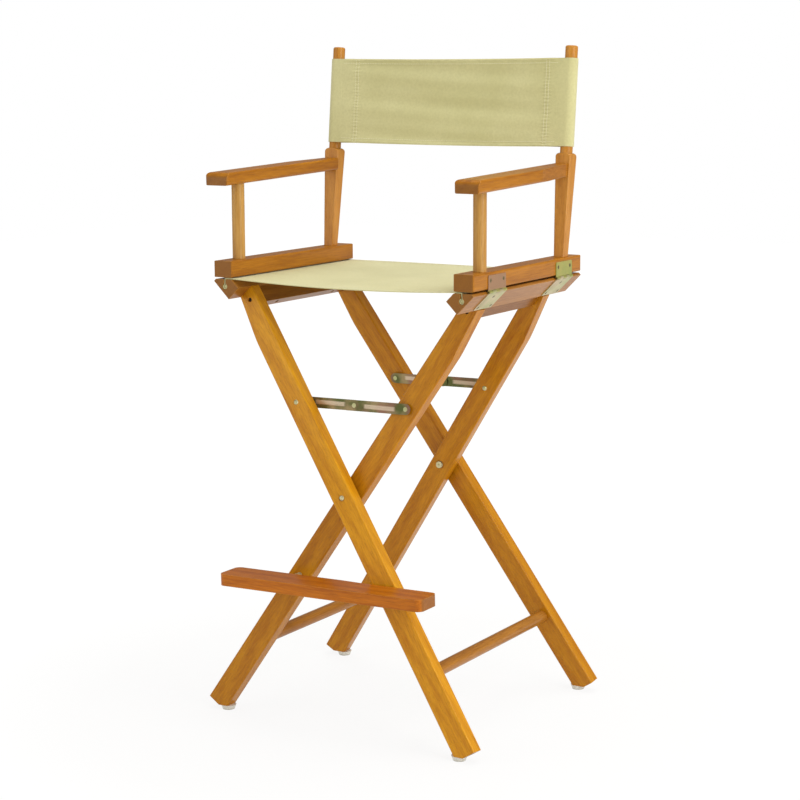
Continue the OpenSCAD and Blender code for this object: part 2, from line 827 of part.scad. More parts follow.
module seat_rod(side) {
    color(shaded_wood) at_seat() on_side(side) translate([groove_x, 0, groove_z])
        rod_y(seat_rod_d, rail_front + 4, rail_back - 4);
}

module seat_canvas() {
    z0 = top_z + (rail_gap - canvas_t) / 2;
    color(canvas) at_seat() drawn_out(rail_front + 1, rail_back - 1) difference() {
        union() {
            translate([-groove_x - canvas_t / 2, z0]) square([2 * groove_x + canvas_t, canvas_t]);
            for (s = [-1, 1]) {
                translate([s * groove_x - canvas_t / 2, groove_z]) square([canvas_t, z0 - groove_z + eps]);
                translate([s * groove_x, groove_z]) circle(d = groove_d - 0.8, $fn = facets);
            }
        }
        for (s = [-1, 1]) translate([s * groove_x, groove_z]) circle(d = seat_rod_d + 0.7, $fn = facets);
    }
}

module back_canvas() {
    sleeve_r = back_dowel_d / 2 + 0.4;
    color(canvas) at_seat() post_axis() translate([-post_x, 0, back_canvas_low])
        linear_extrude(back_canvas_h) difference() {
            union() {
                translate([-post_x, -sleeve_r - canvas_t]) square([2 * post_x, canvas_t]);
                for (s = [-1, 1]) translate([s * post_x, 0]) circle(r = sleeve_r + canvas_t, $fn = facets);
            }
            for (s = [-1, 1]) translate([s * post_x, 0]) circle(r = sleeve_r, $fn = facets);
        }
}

// ---- nodes ----

module front_outer_leg() { color(wood) at_seat() leg(false, "front"); }
module rear_outer_leg() { color(wood) at_seat() leg(false, "rear"); }
module front_inner_leg() { color(wood) at_seat() leg(true, "front"); }
module rear_inner_leg() { color(wood) at_seat() leg(true, "rear"); }

module upper_leaf_screws(side) { color(zinc) at_seat() on_side(side) upper_leaf_screw_lines() leaf_screw(9); }
module lower_leaf_screws(side) { color(zinc) at_seat() on_side(side) lower_leaf_screw_lines() leaf_screw(6); }

front_outer_leg();
rear_outer_leg();
front_inner_leg();
rear_inner_leg();
lower_rail("left");  // left_lower_rail
lower_rail("right");  // right_lower_rail
apron("left");  // left_apron
apron("right");  // right_apron
stretcher(false);  // outer_stretcher
stretcher(true);  // inner_stretcher
glides(false);  // outer_glides
glides(true);  // inner_glides
upper_rail("left");  // left_upper_rail
upper_rail("right");  // right_upper_rail
armrest("left");  // left_armrest
armrest("right");  // right_armrest
front_post("left");  // left_front_post
front_post("right");  // right_front_post
back_post("left");  // left_back_post
back_post("right");  // right_back_post
upper_leaves("left");  // left_upper_leaves
upper_leaves("right");  // right_upper_leaves
lower_leaves("left");  // left_lower_leaves
lower_leaves("right");  // right_lower_leaves
hinge_pins("left");  // left_hinge_pins
hinge_pins("right");  // right_hinge_pins
upper_leaf_screws("left");  // left_upper_leaf_screws
upper_leaf_screws("right");  // right_upper_leaf_screws
lower_leaf_screws("left");  // left_lower_leaf_screws
lower_leaf_screws("right");  // right_lower_leaf_screws
arm_screw("left");  // left_arm_screw
arm_screw("right");  // right_arm_screw
frame_screws(false);  // outer_frame_screws
frame_screws(true);  // inner_frame_screws
pivot_bolts();
pivot_nuts();
pivot_washers();
outer_link("front");  // front_outer_link
inner_link("front");  // front_inner_link
outer_link("rear");  // rear_outer_link
inner_link("rear");  // rear_inner_link
outer_leg_rivets();
inner_leg_rivets();
middle_rivet("front");  // front_middle_rivet
middle_rivet("rear");  // rear_middle_rivet
footrest();
footrest_screw();
footrest_sleeve();
footrest_peg();
seat_rod("left");  // left_seat_rod
seat_rod("right");  // right_seat_rod
seat_canvas();
back_canvas();
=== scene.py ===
# %% [markdown]
# # A tall director chair
#
# The solid parts of the chair come ready made from the CAD frame, already in
# place. In this lesson we give them varnished wood, zinc-plated steel and
# plastic, sew the two pieces of canvas, and put the chair in a plain studio.
# Everything is in metres, +Z is up, and the sitter faces -Y.

import math

import bpy
import numpy as np
from mathutils import Matrix, Vector


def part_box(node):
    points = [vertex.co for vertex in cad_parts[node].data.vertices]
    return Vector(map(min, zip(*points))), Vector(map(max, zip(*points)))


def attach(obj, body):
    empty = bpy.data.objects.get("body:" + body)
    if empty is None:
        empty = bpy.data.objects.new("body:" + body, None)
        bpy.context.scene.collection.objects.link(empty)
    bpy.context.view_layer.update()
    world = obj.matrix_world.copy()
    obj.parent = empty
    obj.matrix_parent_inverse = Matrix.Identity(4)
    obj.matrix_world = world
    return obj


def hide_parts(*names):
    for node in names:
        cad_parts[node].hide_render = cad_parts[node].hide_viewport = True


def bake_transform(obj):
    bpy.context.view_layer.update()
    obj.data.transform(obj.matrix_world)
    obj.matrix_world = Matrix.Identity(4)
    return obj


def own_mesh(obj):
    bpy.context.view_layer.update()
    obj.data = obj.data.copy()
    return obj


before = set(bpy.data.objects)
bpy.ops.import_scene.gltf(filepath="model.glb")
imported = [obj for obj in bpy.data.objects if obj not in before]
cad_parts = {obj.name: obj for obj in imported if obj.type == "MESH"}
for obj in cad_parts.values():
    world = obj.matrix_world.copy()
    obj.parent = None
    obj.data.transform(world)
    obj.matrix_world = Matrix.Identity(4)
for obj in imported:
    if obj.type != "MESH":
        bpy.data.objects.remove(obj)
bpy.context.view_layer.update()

# %% [markdown]
# ## Where things are
#
# Positions are read from the CAD parts, so the canvas still fits if the chair
# is made wider or taller. A box says nothing about an angle or about what is
# inside it, so the lean of the back posts and the place of their feet on the
# upper rails are given here.

# %% Read the places of the rails, the rods and the posts
_, RAIL_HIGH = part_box("right_upper_rail")
_, LOWER_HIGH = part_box("right_lower_rail")
ROD_LOW, ROD_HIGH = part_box("right_seat_rod")
CLOTH_LOW, CLOTH_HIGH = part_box("seat_canvas")
POST_LEAN = math.radians(5.7)
POST_FROM_SIDE, POST_FROM_BACK = 0.0168, 0.0457
POST_X = RAIL_HIGH.x - POST_FROM_SIDE
POST_FOOT = Vector((0.0, RAIL_HIGH.y - POST_FROM_BACK, RAIL_HIGH.z))
GLIDE_LOW, GLIDE_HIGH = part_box("outer_glides")
FEET_Y = (GLIDE_LOW.y + GLIDE_HIGH.y) / 2
print("posts at x", round(POST_X, 4), "feet centre y", round(FEET_Y, 4))

# %% [markdown]
# ## Colours
#
# Blender wants linear light, but a maker matches colours by eye on a screen.
# So colours are written as the eye sees them, from 0 to 255, and converted.


# %% Convert a screen colour to linear light
def colour(r, g, b):
    def linear(c):
        c = c / 255
        return c / 12.92 if c <= 0.04045 else ((c + 0.055) / 1.055) ** 2.4

    return (linear(r), linear(g), linear(b), 1.0)


print("amber, linear:", [round(v, 3) for v in colour(196, 128, 44)])

# %% [markdown]
# ## A few node helpers
#
# A material is a graph. These helpers add one node each and set its inputs by
# name, so that the graphs below read from left to right like a recipe.


# %% Helpers that add nodes
def add(tree, kind, inputs=None, **settings):
    node = tree.nodes.new(kind)
    for key, value in settings.items():
        setattr(node, key, value)
    for key, value in (inputs or {}).items():
        socket = node.inputs[key]
        if isinstance(value, bpy.types.NodeSocket):
            tree.links.new(value, socket)
        else:
            socket.default_value = value
    return node


def blend_colours(tree, factor, a, b, how="MIX"):
    node = add(tree, "ShaderNodeMix", data_type="RGBA", blend_type=how)
    for index, value in ((0, factor), (6, a), (7, b)):
        if isinstance(value, bpy.types.NodeSocket):
            tree.links.new(value, node.inputs[index])
        else:
            node.inputs[index].default_value = value
    return node.outputs[2]


def maths(tree, operation, a, b=0.0, clamp=False):
    node = add(tree, "ShaderNodeMath", operation=operation, use_clamp=clamp)
    for index, value in ((0, a), (1, b)):
        if isinstance(value, bpy.types.NodeSocket):
            tree.links.new(value, node.inputs[index])
        else:
            node.inputs[index].default_value = value
    return node.outputs[0]


def remap(tree, value, low, high, to_low=0.0, to_high=1.0):
    node = add(
        tree,
        "ShaderNodeMapRange",
        {"Value": value, "From Min": low, "From Max": high, "To Min": to_low, "To Max": to_high},
    )
    return node.outputs["Result"]


def new_group(name, inputs, outputs):
    tree = bpy.data.node_groups.new(name, "ShaderNodeTree")
    for label, kind, default in inputs:
        socket = tree.interface.new_socket(label, in_out="INPUT", socket_type=kind)
        if default is not None:
            socket.default_value = default
    for label, kind in outputs:
        tree.interface.new_socket(label, in_out="OUTPUT", socket_type=kind)
    return tree, tree.nodes.new("NodeGroupInput"), tree.nodes.new("NodeGroupOutput")


print("node helpers ready")

# %% [markdown]
# ## The grain of stained hardwood
#
# The chair is a pale close-grained hardwood under an amber stain. Seen close,
# it has broad soft growth bands, fine fibres and short dark pores, all drawn
# out along the piece. End grain drinks more stain and goes brown. One group
# makes all of that from a vector whose Z runs along the piece, so each
# material only has to turn the vector to suit its own parts.

# %% Build the grain group
grain, into, out = new_group(
    "Stained grain",
    [
        ("Vector", "NodeSocketVector", None),
        ("Facing", "NodeSocketVector", None),
        ("Light", "NodeSocketColor", colour(214, 150, 62)),
        ("Dark", "NodeSocketColor", colour(176, 98, 22)),
    ],
    [
        ("Color", "NodeSocketColor"),
        ("Roughness", "NodeSocketFloat"),
        ("Height", "NodeSocketFloat"),
    ],
)
vector = into.outputs["Vector"]


def drawn_out(share):
    """The place with its length along the grain shrunk, so that noise there is stretched."""
    scale = {0: vector, 1: (1.0, 1.0, share)}
    return add(grain, "ShaderNodeVectorMath", scale, operation="MULTIPLY").outputs[0]


long_bands, long_pores = drawn_out(0.07), drawn_out(0.025)
broad = add(grain, "ShaderNodeTexNoise", {"Vector": long_bands, "Scale": 34.0, "Detail": 3.0})
fibres = add(grain, "ShaderNodeTexNoise", {"Vector": long_bands, "Scale": 420.0, "Detail": 5.0})
rings = add(
    grain,
    "ShaderNodeTexWave",
    {
        "Vector": long_bands,
        "Scale": 26.0,
        "Distortion": 7.0,
        "Detail": 3.0,
        "Detail Scale": 0.8,
    },
    wave_type="BANDS",
    bands_direction="DIAGONAL",
)
pores = add(grain, "ShaderNodeTexNoise", {"Vector": long_pores, "Scale": 1300.0, "Detail": 2.0})
print("texture nodes in the grain:", len(grain.nodes))

# %% Mix the bands, fibres and pores
bands = maths(
    grain,
    "ADD",
    maths(grain, "MULTIPLY", rings.outputs["Fac"], 0.22),
    maths(grain, "MULTIPLY", remap(grain, broad.outputs["Fac"], 0.3, 0.7), 0.34),
)
fine_lines = maths(grain, "MULTIPLY", remap(grain, fibres.outputs["Fac"], 0.36, 0.64), 0.34)
figure = maths(grain, "ADD", bands, fine_lines, clamp=True)
stained = blend_colours(grain, figure, into.outputs["Light"], into.outputs["Dark"])
pore_mask = remap(grain, pores.outputs["Fac"], 0.60, 0.72)
stained = blend_colours(
    grain,
    maths(grain, "MULTIPLY", pore_mask, 0.42),
    stained,
    colour(96, 48, 8),
)
facing = add(grain, "ShaderNodeSeparateXYZ", {0: into.outputs["Facing"]})
end_mask = remap(grain, maths(grain, "ABSOLUTE", facing.outputs["Z"]), 0.80, 0.95)
end_speckle = add(grain, "ShaderNodeTexNoise", {"Vector": vector, "Scale": 700.0, "Detail": 3.0})
end_colour = blend_colours(
    grain, end_speckle.outputs["Fac"], colour(112, 74, 34), colour(158, 108, 50)
)
stained = blend_colours(grain, maths(grain, "MULTIPLY", end_mask, 0.75), stained, end_colour)
grain.links.new(stained, out.inputs["Color"])
rough = maths(grain, "ADD", maths(grain, "MULTIPLY", fibres.outputs["Fac"], 0.16), 0.26)
rough = maths(grain, "ADD", rough, maths(grain, "MULTIPLY", end_mask, 0.16))
grain.links.new(rough, out.inputs["Roughness"])
height = maths(grain, "SUBTRACT", maths(grain, "MULTIPLY", fibres.outputs["Fac"], 0.5), pore_mask)
grain.links.new(height, out.inputs["Height"])
print("grain group outputs:", [s.name for s in grain.interface.items_tree if s.in_out == "OUTPUT"])

# %% [markdown]
# ## Rubbed edges and painted highlight
#
# Varnish creeps away from a sharp edge and hands rub it thinner still, so the
# long edges of the real chair are paler and catch the light in a soft line. The
# paler colour that this group gives the edges is partly that wear and partly a
# painted highlight for the line of light.
# The Bevel node rounds the surface normal near an edge without touching the
# mesh. Where the rounded normal differs from the true one, we are on an edge.

# %% Build the edge group
edges, into, out = new_group(
    "Edge wear and painted highlight",
    [
        ("Color", "NodeSocketColor", None),
        ("Worn and lit edge", "NodeSocketColor", colour(226, 172, 82)),
        ("Amount", "NodeSocketFloat", 0.5),
    ],
    [("Color", "NodeSocketColor"), ("Normal", "NodeSocketVector")],
)
rounded_normal = add(edges, "ShaderNodeBevel", {"Radius": 0.0016}, samples=6)
true_normal = add(edges, "ShaderNodeNewGeometry")
turn = add(
    edges,
    "ShaderNodeVectorMath",
    {0: rounded_normal.outputs[0], 1: true_normal.outputs["Normal"]},
    operation="DOT_PRODUCT",
).outputs["Value"]
wear_and_highlight_mask = remap(edges, turn, 0.995, 0.86)
# The edges are mixed towards a paler amber: worn varnish and a painted highlight.
edges.links.new(
    blend_colours(
        edges,
        maths(edges, "MULTIPLY", wear_and_highlight_mask, into.outputs["Amount"]),
        into.outputs["Color"],
        into.outputs["Worn and lit edge"],
    ),
    out.inputs["Color"],
)
edges.links.new(rounded_normal.outputs[0], out.inputs["Normal"])
print("edge group ready")

# %% [markdown]
# ## Varnished wood for each direction
#
# Boards are sawn along the grain, so a leg needs its grain up the leg and a
# rail from front to back. Texture coordinates in object space are the CAD
# coordinates, and a Vector Rotate node turns them until Z lies along the part.
# A coat layer over the base gives the satin varnish its own reflection, and an
# amber coat tint warms what shines through it.
#
# Each group of pieces has its own pair of stain colours. The front outer leg is
# the palest, the footrest the reddest and the aprons the darkest. Part of that
# is the wood and part is painted light and shade that makes up for how the
# lamps fall, so these aren't measured colours of wood. The aprons sit in the
# shade under the seat canvas, and their darker stain is painted shade.


# %% A maker for varnished wood
def varnished_wood(name, axis, degrees, light, dark, wear_and_highlight=0.45):
    material = bpy.data.materials.new(name)
    material.use_nodes = True
    tree = material.node_tree
    shader = tree.nodes["Principled BSDF"]
    place = add(tree, "ShaderNodeTexCoord")
    turned, facing = (
        add(
            tree,
            "ShaderNodeVectorRotate",
            {"Vector": place.outputs[source], "Axis": axis, "Angle": math.radians(degrees)},
            rotation_type="AXIS_ANGLE",
        ).outputs[0]
        for source in ("Object", "Normal")
    )
    wood = add(tree, "ShaderNodeGroup", node_tree=grain)
    tree.links.new(turned, wood.inputs["Vector"])
    tree.links.new(facing, wood.inputs["Facing"])
    wood.inputs["Light"].default_value = light
    wood.inputs["Dark"].default_value = dark
    edge_wear_and_highlight = add(tree, "ShaderNodeGroup", node_tree=edges)
    tree.links.new(wood.outputs["Color"], edge_wear_and_highlight.inputs["Color"])
    edge_wear_and_highlight.inputs["Amount"].default_value = wear_and_highlight
    bump = add(
        tree,
        "ShaderNodeBump",
        {
            "Height": wood.outputs["Height"],
            "Normal": edge_wear_and_highlight.outputs["Normal"],
            "Strength": 0.22,
            "Distance": 0.0003,
        },
    )
    tree.links.new(edge_wear_and_highlight.outputs["Color"], shader.inputs["Base Color"])
    tree.links.new(wood.outputs["Roughness"], shader.inputs["Roughness"])
    tree.links.new(bump.outputs["Normal"], shader.inputs["Normal"])
    shader.inputs["Specular IOR Level"].default_value = 0.2
    shader.inputs["Coat Weight"].default_value = 0.18
    shader.inputs["Coat Roughness"].default_value = 0.13
    shader.inputs["Coat IOR"].default_value = 1.45
    shader.inputs["Coat Tint"].default_value = colour(255, 214, 150)
    return material


print("varnish maker ready")

# %% Stain the woods
LEG_ANGLE = 33.2
LEG_LIGHT, LEG_DARK = colour(208, 146, 20), colour(160, 92, 5)
ARM_LIGHT, ARM_DARK = colour(186, 124, 22), colour(136, 78, 8)
LOWER_LIGHT, LOWER_DARK = colour(182, 126, 48), colour(140, 88, 26)
POST_LIGHT, POST_DARK = colour(208, 166, 94), colour(172, 124, 54)
PALE_LIGHT, PALE_DARK = colour(232, 170, 30), colour(180, 112, 8)
wood_pale_leg = varnished_wood(
    "Wood, front outer leg", (0, 1, 0), LEG_ANGLE, PALE_LIGHT, PALE_DARK
)
wood_outer_leg = varnished_wood("Wood, outer legs", (0, 1, 0), LEG_ANGLE, LEG_LIGHT, LEG_DARK)
wood_inner_leg = varnished_wood("Wood, inner legs", (0, 1, 0), -LEG_ANGLE, LEG_LIGHT, LEG_DARK)
wood_rail = varnished_wood("Wood, upper rails and arms", (1, 0, 0), 90, ARM_LIGHT, ARM_DARK)
wood_lower = varnished_wood("Wood, lower rails", (1, 0, 0), 90, LOWER_LIGHT, LOWER_DARK)
# The aprons get a darker stain as painted shade, for the shade they sit in under the seat canvas.
wood_apron_shaded = varnished_wood(
    "Wood, aprons, painted shade", (1, 0, 0), 90, colour(156, 102, 28), colour(112, 66, 10)
)
wood_post = varnished_wood("Wood, front posts", (0, 0, 1), 0, POST_LIGHT, POST_DARK, wear_and_highlight=0.3)
wood_back_post = varnished_wood(
    "Wood, back posts", (0, 0, 1), 0, colour(206, 148, 64), colour(168, 106, 28), wear_and_highlight=0.3
)
wood_footrest = varnished_wood(
    "Wood, footrest", (0, 1, 0), -90, colour(208, 124, 18), colour(146, 70, 2), wear_and_highlight=0.4
)
print("woods:", [m.name for m in bpy.data.materials if m.name.startswith("Wood")])

# %% [markdown]
# ## Yellow zinc plate
#
# The hinges, braces and screws are steel with a yellow passivated zinc plate.
# It is a thin film, so its tint wanders between straw, green and pink over a
# few centimetres. One noise mask mixes straw and green, and another adds the
# pink blush. Two places differ from the rest, and a mask finds each of them by
# where it lies: the upper leaves of the front hinges are pinker, and the pressed
# ribs of the brace links get a painted highlight in pale cream.

# %% Measure the hinge pins and the middle rivets
PINS_LOW, PINS_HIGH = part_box("right_hinge_pins")
PIN_X, PIN_Z = (PINS_LOW.x + PINS_HIGH.x) / 2, (PINS_LOW.z + PINS_HIGH.z) / 2
RIVET_LOW, RIVET_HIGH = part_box("front_middle_rivet")
BRACE_Z = (RIVET_LOW.z + RIVET_HIGH.z) / 2
print("hinge pins at height", round(PIN_Z, 4), "braces at height", round(BRACE_Z, 4))

# %% Masks for the pink leaves and the painted highlight on the ribs
PINK_FROM = 0.002
RIB_HALF, RIB_FADE = 0.0028, 0.0014
RIB_START, RIB_END, RIB_RUN = 0.022, 0.077, 0.004


def front_leaf_mask(tree, axes):
    """One above the hinge pins in the front half of the chair."""
    above = remap(tree, axes.outputs["Z"], PIN_Z + PINK_FROM, PIN_Z + 2 * PINK_FROM)
    forward = remap(tree, axes.outputs["Y"], 0.0, -0.03)
    return maths(tree, "MULTIPLY", above, forward)


def rib_highlight_mask(tree, axes):
    """One along the pressed rib of a brace link, where a highlight is painted."""
    off_line = maths(tree, "ABSOLUTE", maths(tree, "SUBTRACT", axes.outputs["Z"], BRACE_Z))
    off_middle = maths(tree, "ABSOLUTE", axes.outputs["X"])
    on_line = remap(tree, off_line, RIB_HALF + RIB_FADE, RIB_HALF)
    past_middle = remap(tree, off_middle, RIB_START - RIB_RUN, RIB_START)
    before_leg = remap(tree, off_middle, RIB_END + RIB_RUN, RIB_END)
    return maths(tree, "MULTIPLY", maths(tree, "MULTIPLY", on_line, past_middle), before_leg)


print("plate masks ready")


# %% A maker for the plate
def zinc_plate(name, straw, green, pink, blush, front_pink=0.0, rib=0.0):
    material = bpy.data.materials.new(name)
    material.use_nodes = True
    tree = material.node_tree
    shader = tree.nodes["Principled BSDF"]
    place = add(tree, "ShaderNodeTexCoord").outputs["Object"]
    patches = add(tree, "ShaderNodeTexNoise", {"Vector": place, "Scale": 38.0, "Detail": 2.0})
    blushes = add(tree, "ShaderNodeTexNoise", {"Vector": place, "Scale": 23.0, "Detail": 1.0})
    brushed = add(tree, "ShaderNodeTexNoise", {"Vector": place, "Scale": 900.0, "Detail": 3.0})
    film = blend_colours(tree, remap(tree, patches.outputs["Fac"], 0.38, 0.62), straw, green)
    axes = add(tree, "ShaderNodeSeparateXYZ", {0: place})
    near_front = maths(tree, "MULTIPLY", front_leaf_mask(tree, axes), front_pink)
    wandering = maths(tree, "MULTIPLY", remap(tree, blushes.outputs["Fac"], 0.50, 0.62), blush)
    film = blend_colours(tree, maths(tree, "MAXIMUM", wandering, near_front), film, pink)
    # The ribs are mixed towards pale cream, a painted highlight along their crests.
    rib_highlight = maths(tree, "MULTIPLY", rib_highlight_mask(tree, axes), rib)
    film = blend_colours(tree, rib_highlight, film, colour(226, 204, 176))
    tree.links.new(film, shader.inputs["Base Color"])
    shader.inputs["Metallic"].default_value = 0.55
    tree.links.new(
        remap(tree, brushed.outputs["Fac"], 0.3, 0.7, 0.30, 0.46), shader.inputs["Roughness"]
    )
    plating = add(
        tree,
        "ShaderNodeBump",
        {"Height": brushed.outputs["Fac"], "Strength": 0.12, "Distance": 0.0001},
    )
    tree.links.new(plating.outputs["Normal"], shader.inputs["Normal"])
    return material


print("plate maker ready")

# %% Plate the fittings
PINK = colour(172, 122, 98)
zinc_upper = zinc_plate(
    "Zinc plate, upper leaves", colour(184, 178, 96), colour(168, 172, 92), PINK, 0.2, 0.85
)
zinc_lower = zinc_plate(
    "Zinc plate, lower leaves", colour(204, 190, 148), colour(178, 178, 120), PINK, 0.25
)
BROWN_PINK = colour(146, 100, 84)
zinc_brace = zinc_plate(
    "Zinc plate, braces", colour(158, 138, 96), colour(92, 98, 48), BROWN_PINK, 0.75, rib=0.7
)
zinc_screws = zinc_plate(
    "Zinc plate, leaf screws", colour(128, 112, 74), colour(98, 100, 56), PINK, 0.2
)
zinc = zinc_plate(
    "Zinc plate, bolts and rivets", colour(214, 206, 164), colour(184, 186, 128), PINK, 0.2
)
print("plates:", [m.name for m in bpy.data.materials if m.name.startswith("Zinc")])

# %% [markdown]
# The screws that hold the frames together sit deep in their counterbores. They
# and the hinge pins get a dark steel colour, which is painted shade: each screw
# reads as a dark dot in the wood and each pin as a dark line between the leaves.

# %% Build the dark steel with its painted shade
shaded_dark_steel = bpy.data.materials.new("Dark steel, painted shade")
shaded_dark_steel.use_nodes = True
tree = shaded_dark_steel.node_tree
shader = tree.nodes["Principled BSDF"]
place = add(tree, "ShaderNodeTexCoord").outputs["Object"]
dark_mottle = add(tree, "ShaderNodeTexNoise", {"Vector": place, "Scale": 800.0, "Detail": 2.0})
# Two dark browns mottled by noise, painted shade for the screws and pins.
tree.links.new(
    blend_colours(tree, dark_mottle.outputs["Fac"], colour(64, 48, 30), colour(96, 74, 46)),
    shader.inputs["Base Color"],
)
shader.inputs["Metallic"].default_value = 0.4
shader.inputs["Roughness"].default_value = 0.55
print("dark steel ready")

# %% [markdown]
# ## Plastic glides
#
# The glides are white moulded plastic. They are matt, with a very fine texture,
# and a little grey where they meet the floor.

# %% Build the glide plastic
plastic = bpy.data.materials.new("White glide plastic")
plastic.use_nodes = True
tree = plastic.node_tree
shader = tree.nodes["Principled BSDF"]
place = add(tree, "ShaderNodeTexCoord").outputs["Object"]
height_above_floor = add(tree, "ShaderNodeSeparateXYZ", {0: place}).outputs["Z"]
fine_texture = add(tree, "ShaderNodeTexNoise", {"Vector": place, "Scale": 260.0, "Detail": 4.0})
# The lowest few millimetres turn greyer in noisy patches, more so nearer the floor.
greyer_near_floor = maths(
    tree, "MULTIPLY", remap(tree, height_above_floor, 0.004, 0.0), fine_texture.outputs["Fac"]
)
tree.links.new(
    blend_colours(tree, greyer_near_floor, colour(232, 230, 220), colour(190, 186, 172)),
    shader.inputs["Base Color"],
)
tree.links.new(remap(tree, fine_texture.outputs["Fac"], 0.3, 0.7, 0.42, 0.58), shader.inputs["Roughness"])
moulded = add(
    tree,
    "ShaderNodeBump",
    {"Height": fine_texture.outputs["Fac"], "Strength": 0.1, "Distance": 0.0002},
)
tree.links.new(moulded.outputs["Normal"], shader.inputs["Normal"])
print("plastic ready")

# %% [markdown]
# ## Finish the CAD parts
#
# Each CAD part keeps its shape and gets the material that suits it. A list of
# word and material pairs is enough, because the parts are named for what they
# are. The first word that a part's name holds decides, so the narrower words
# come before the wider ones.

# %% Give every CAD part its material
FINISHES = [
    ("rivet", zinc),
    ("glides", plastic),
    ("armrest", wood_rail),
    ("upper_rail", wood_rail),
    ("lower_rail", wood_lower),
    ("apron", wood_apron_shaded),
    ("stretcher", wood_lower),
    ("back_post", wood_back_post),
    ("post", wood_post),
    ("seat_rod", wood_lower),
    ("front_outer_leg", wood_pale_leg),
    ("outer_leg", wood_outer_leg),
    ("inner_leg", wood_inner_leg),
    ("frame_screws", shaded_dark_steel),
    ("leaf_screws", zinc_screws),
    ("upper_leaves", zinc_upper),
    ("lower_leaves", zinc_lower),
    ("hinge_pins", shaded_dark_steel),
    ("link", zinc_brace),
    ("footrest_screw", zinc),
    ("footrest_sleeve", zinc),
    ("footrest_peg", wood_lower),
    ("footrest", wood_footrest),
]
for name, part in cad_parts.items():
    finish = next((material for word, material in FINISHES if word in name), zinc)
    part.data.materials.clear()
    part.data.materials.append(finish)
print("finished", len(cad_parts), "CAD parts")

# %% [markdown]
# ## Canvas
#
# Cotton canvas is a plain weave: one thread over, one under. Two crossed waves
# make the threads, and noise makes some thicker than others. The dye is a pale
# olive that fades a little in patches. Sheen gives the soft fuzz of cotton at
# grazing angles.

# %% Build the weave group
weave, into, out = new_group(
    "Plain weave",
    [
        ("Across", "NodeSocketFloat", 0.0),
        ("Along", "NodeSocketFloat", 0.0),
        ("Vector", "NodeSocketVector", None),
    ],
    [("Color", "NodeSocketColor"), ("Height", "NodeSocketFloat")],
)
vector = into.outputs["Vector"]
slubs = add(weave, "ShaderNodeTexNoise", {"Vector": vector, "Scale": 240.0, "Detail": 3.0})
fading = add(weave, "ShaderNodeTexNoise", {"Vector": vector, "Scale": 9.0, "Detail": 3.0})
THREAD_PITCH = 0.00085


def threads(distance):
    turns = maths(weave, "MULTIPLY", distance, 2 * math.pi / THREAD_PITCH)
    turns = maths(weave, "ADD", turns, maths(weave, "MULTIPLY", slubs.outputs["Fac"], 5.0))
    return maths(weave, "SINE", turns)


warp, weft = threads(into.outputs["Across"]), threads(into.outputs["Along"])
crossing = maths(weave, "MULTIPLY", warp, weft)
faded = remap(weave, fading.outputs["Fac"], 0.32, 0.68)
dyed = blend_colours(weave, faded, colour(218, 212, 158), colour(207, 201, 144))
thick = remap(weave, slubs.outputs["Fac"], 0.35, 0.7, 0.0, 0.35)
dyed = blend_colours(weave, thick, dyed, colour(190, 184, 132))
# Where the threads pass under each other the colour is darkened, painted shade in the hollows of
# the weave.
shade_in_hollows = remap(weave, crossing, -1.0, 1.0, 0.12, 0.0)
dyed = blend_colours(weave, shade_in_hollows, dyed, colour(150, 144, 98))
weave.links.new(dyed, out.inputs["Color"])
relief = maths(weave, "ADD", crossing, maths(weave, "MULTIPLY", slubs.outputs["Fac"], 1.5))
weave.links.new(relief, out.inputs["Height"])
print("weave pitch, mm:", 1000 * THREAD_PITCH)


# %% A canvas material for a flat or an upright cloth
def canvas_material(name, along):
    material = bpy.data.materials.new(name)
    material.use_nodes = True
    tree = material.node_tree
    shader = tree.nodes["Principled BSDF"]
    place = add(tree, "ShaderNodeTexCoord").outputs["Object"]
    axes = add(tree, "ShaderNodeSeparateXYZ", {0: place})
    cloth = add(tree, "ShaderNodeGroup", node_tree=weave)
    tree.links.new(axes.outputs["X"], cloth.inputs["Across"])
    tree.links.new(axes.outputs[along], cloth.inputs["Along"])
    tree.links.new(place, cloth.inputs["Vector"])
    bump = add(
        tree,
        "ShaderNodeBump",
        {"Height": cloth.outputs["Height"], "Strength": 0.3, "Distance": 0.00025},
    )
    tree.links.new(cloth.outputs["Color"], shader.inputs["Base Color"])
    tree.links.new(bump.outputs["Normal"], shader.inputs["Normal"])
    shader.inputs["Roughness"].default_value = 0.88
    shader.inputs["Sheen Weight"].default_value = 0.25
    shader.inputs["Sheen Roughness"].default_value = 0.5
    shader.inputs["Specular IOR Level"].default_value = 0.25
    return material


seat_cloth = canvas_material("Olive canvas, seat", "Y")
back_cloth = canvas_material("Olive canvas, back", "Z")
print("canvases:", seat_cloth.name, "and", back_cloth.name)

# %% Spin the sewing thread
thread = bpy.data.materials.new("Cotton thread")
thread.use_nodes = True
tree = thread.node_tree
shader = tree.nodes["Principled BSDF"]
place = add(tree, "ShaderNodeTexCoord").outputs["Object"]
twist = add(tree, "ShaderNodeTexNoise", {"Vector": place, "Scale": 1800.0})
tree.links.new(
    blend_colours(tree, twist.outputs["Fac"], colour(240, 236, 206), colour(214, 208, 168)),
    shader.inputs["Base Color"],
)
shader.inputs["Roughness"].default_value = 0.7
print("thread ready")

# %% [markdown]
# ## A sheet from a profile
#
# Both canvases are long strips with one profile all the way along, so a grid of
# points is the natural mesh. `sheet_mesh` takes a function of two whole numbers
# and makes a quad grid. A Solidify modifier then gives the cloth its thickness,
# half to each side, and an Edge Split modifier keeps the cut edges crisp.

# %% A grid mesh, even points and a soft step
CLOTH_THICK = 0.0013


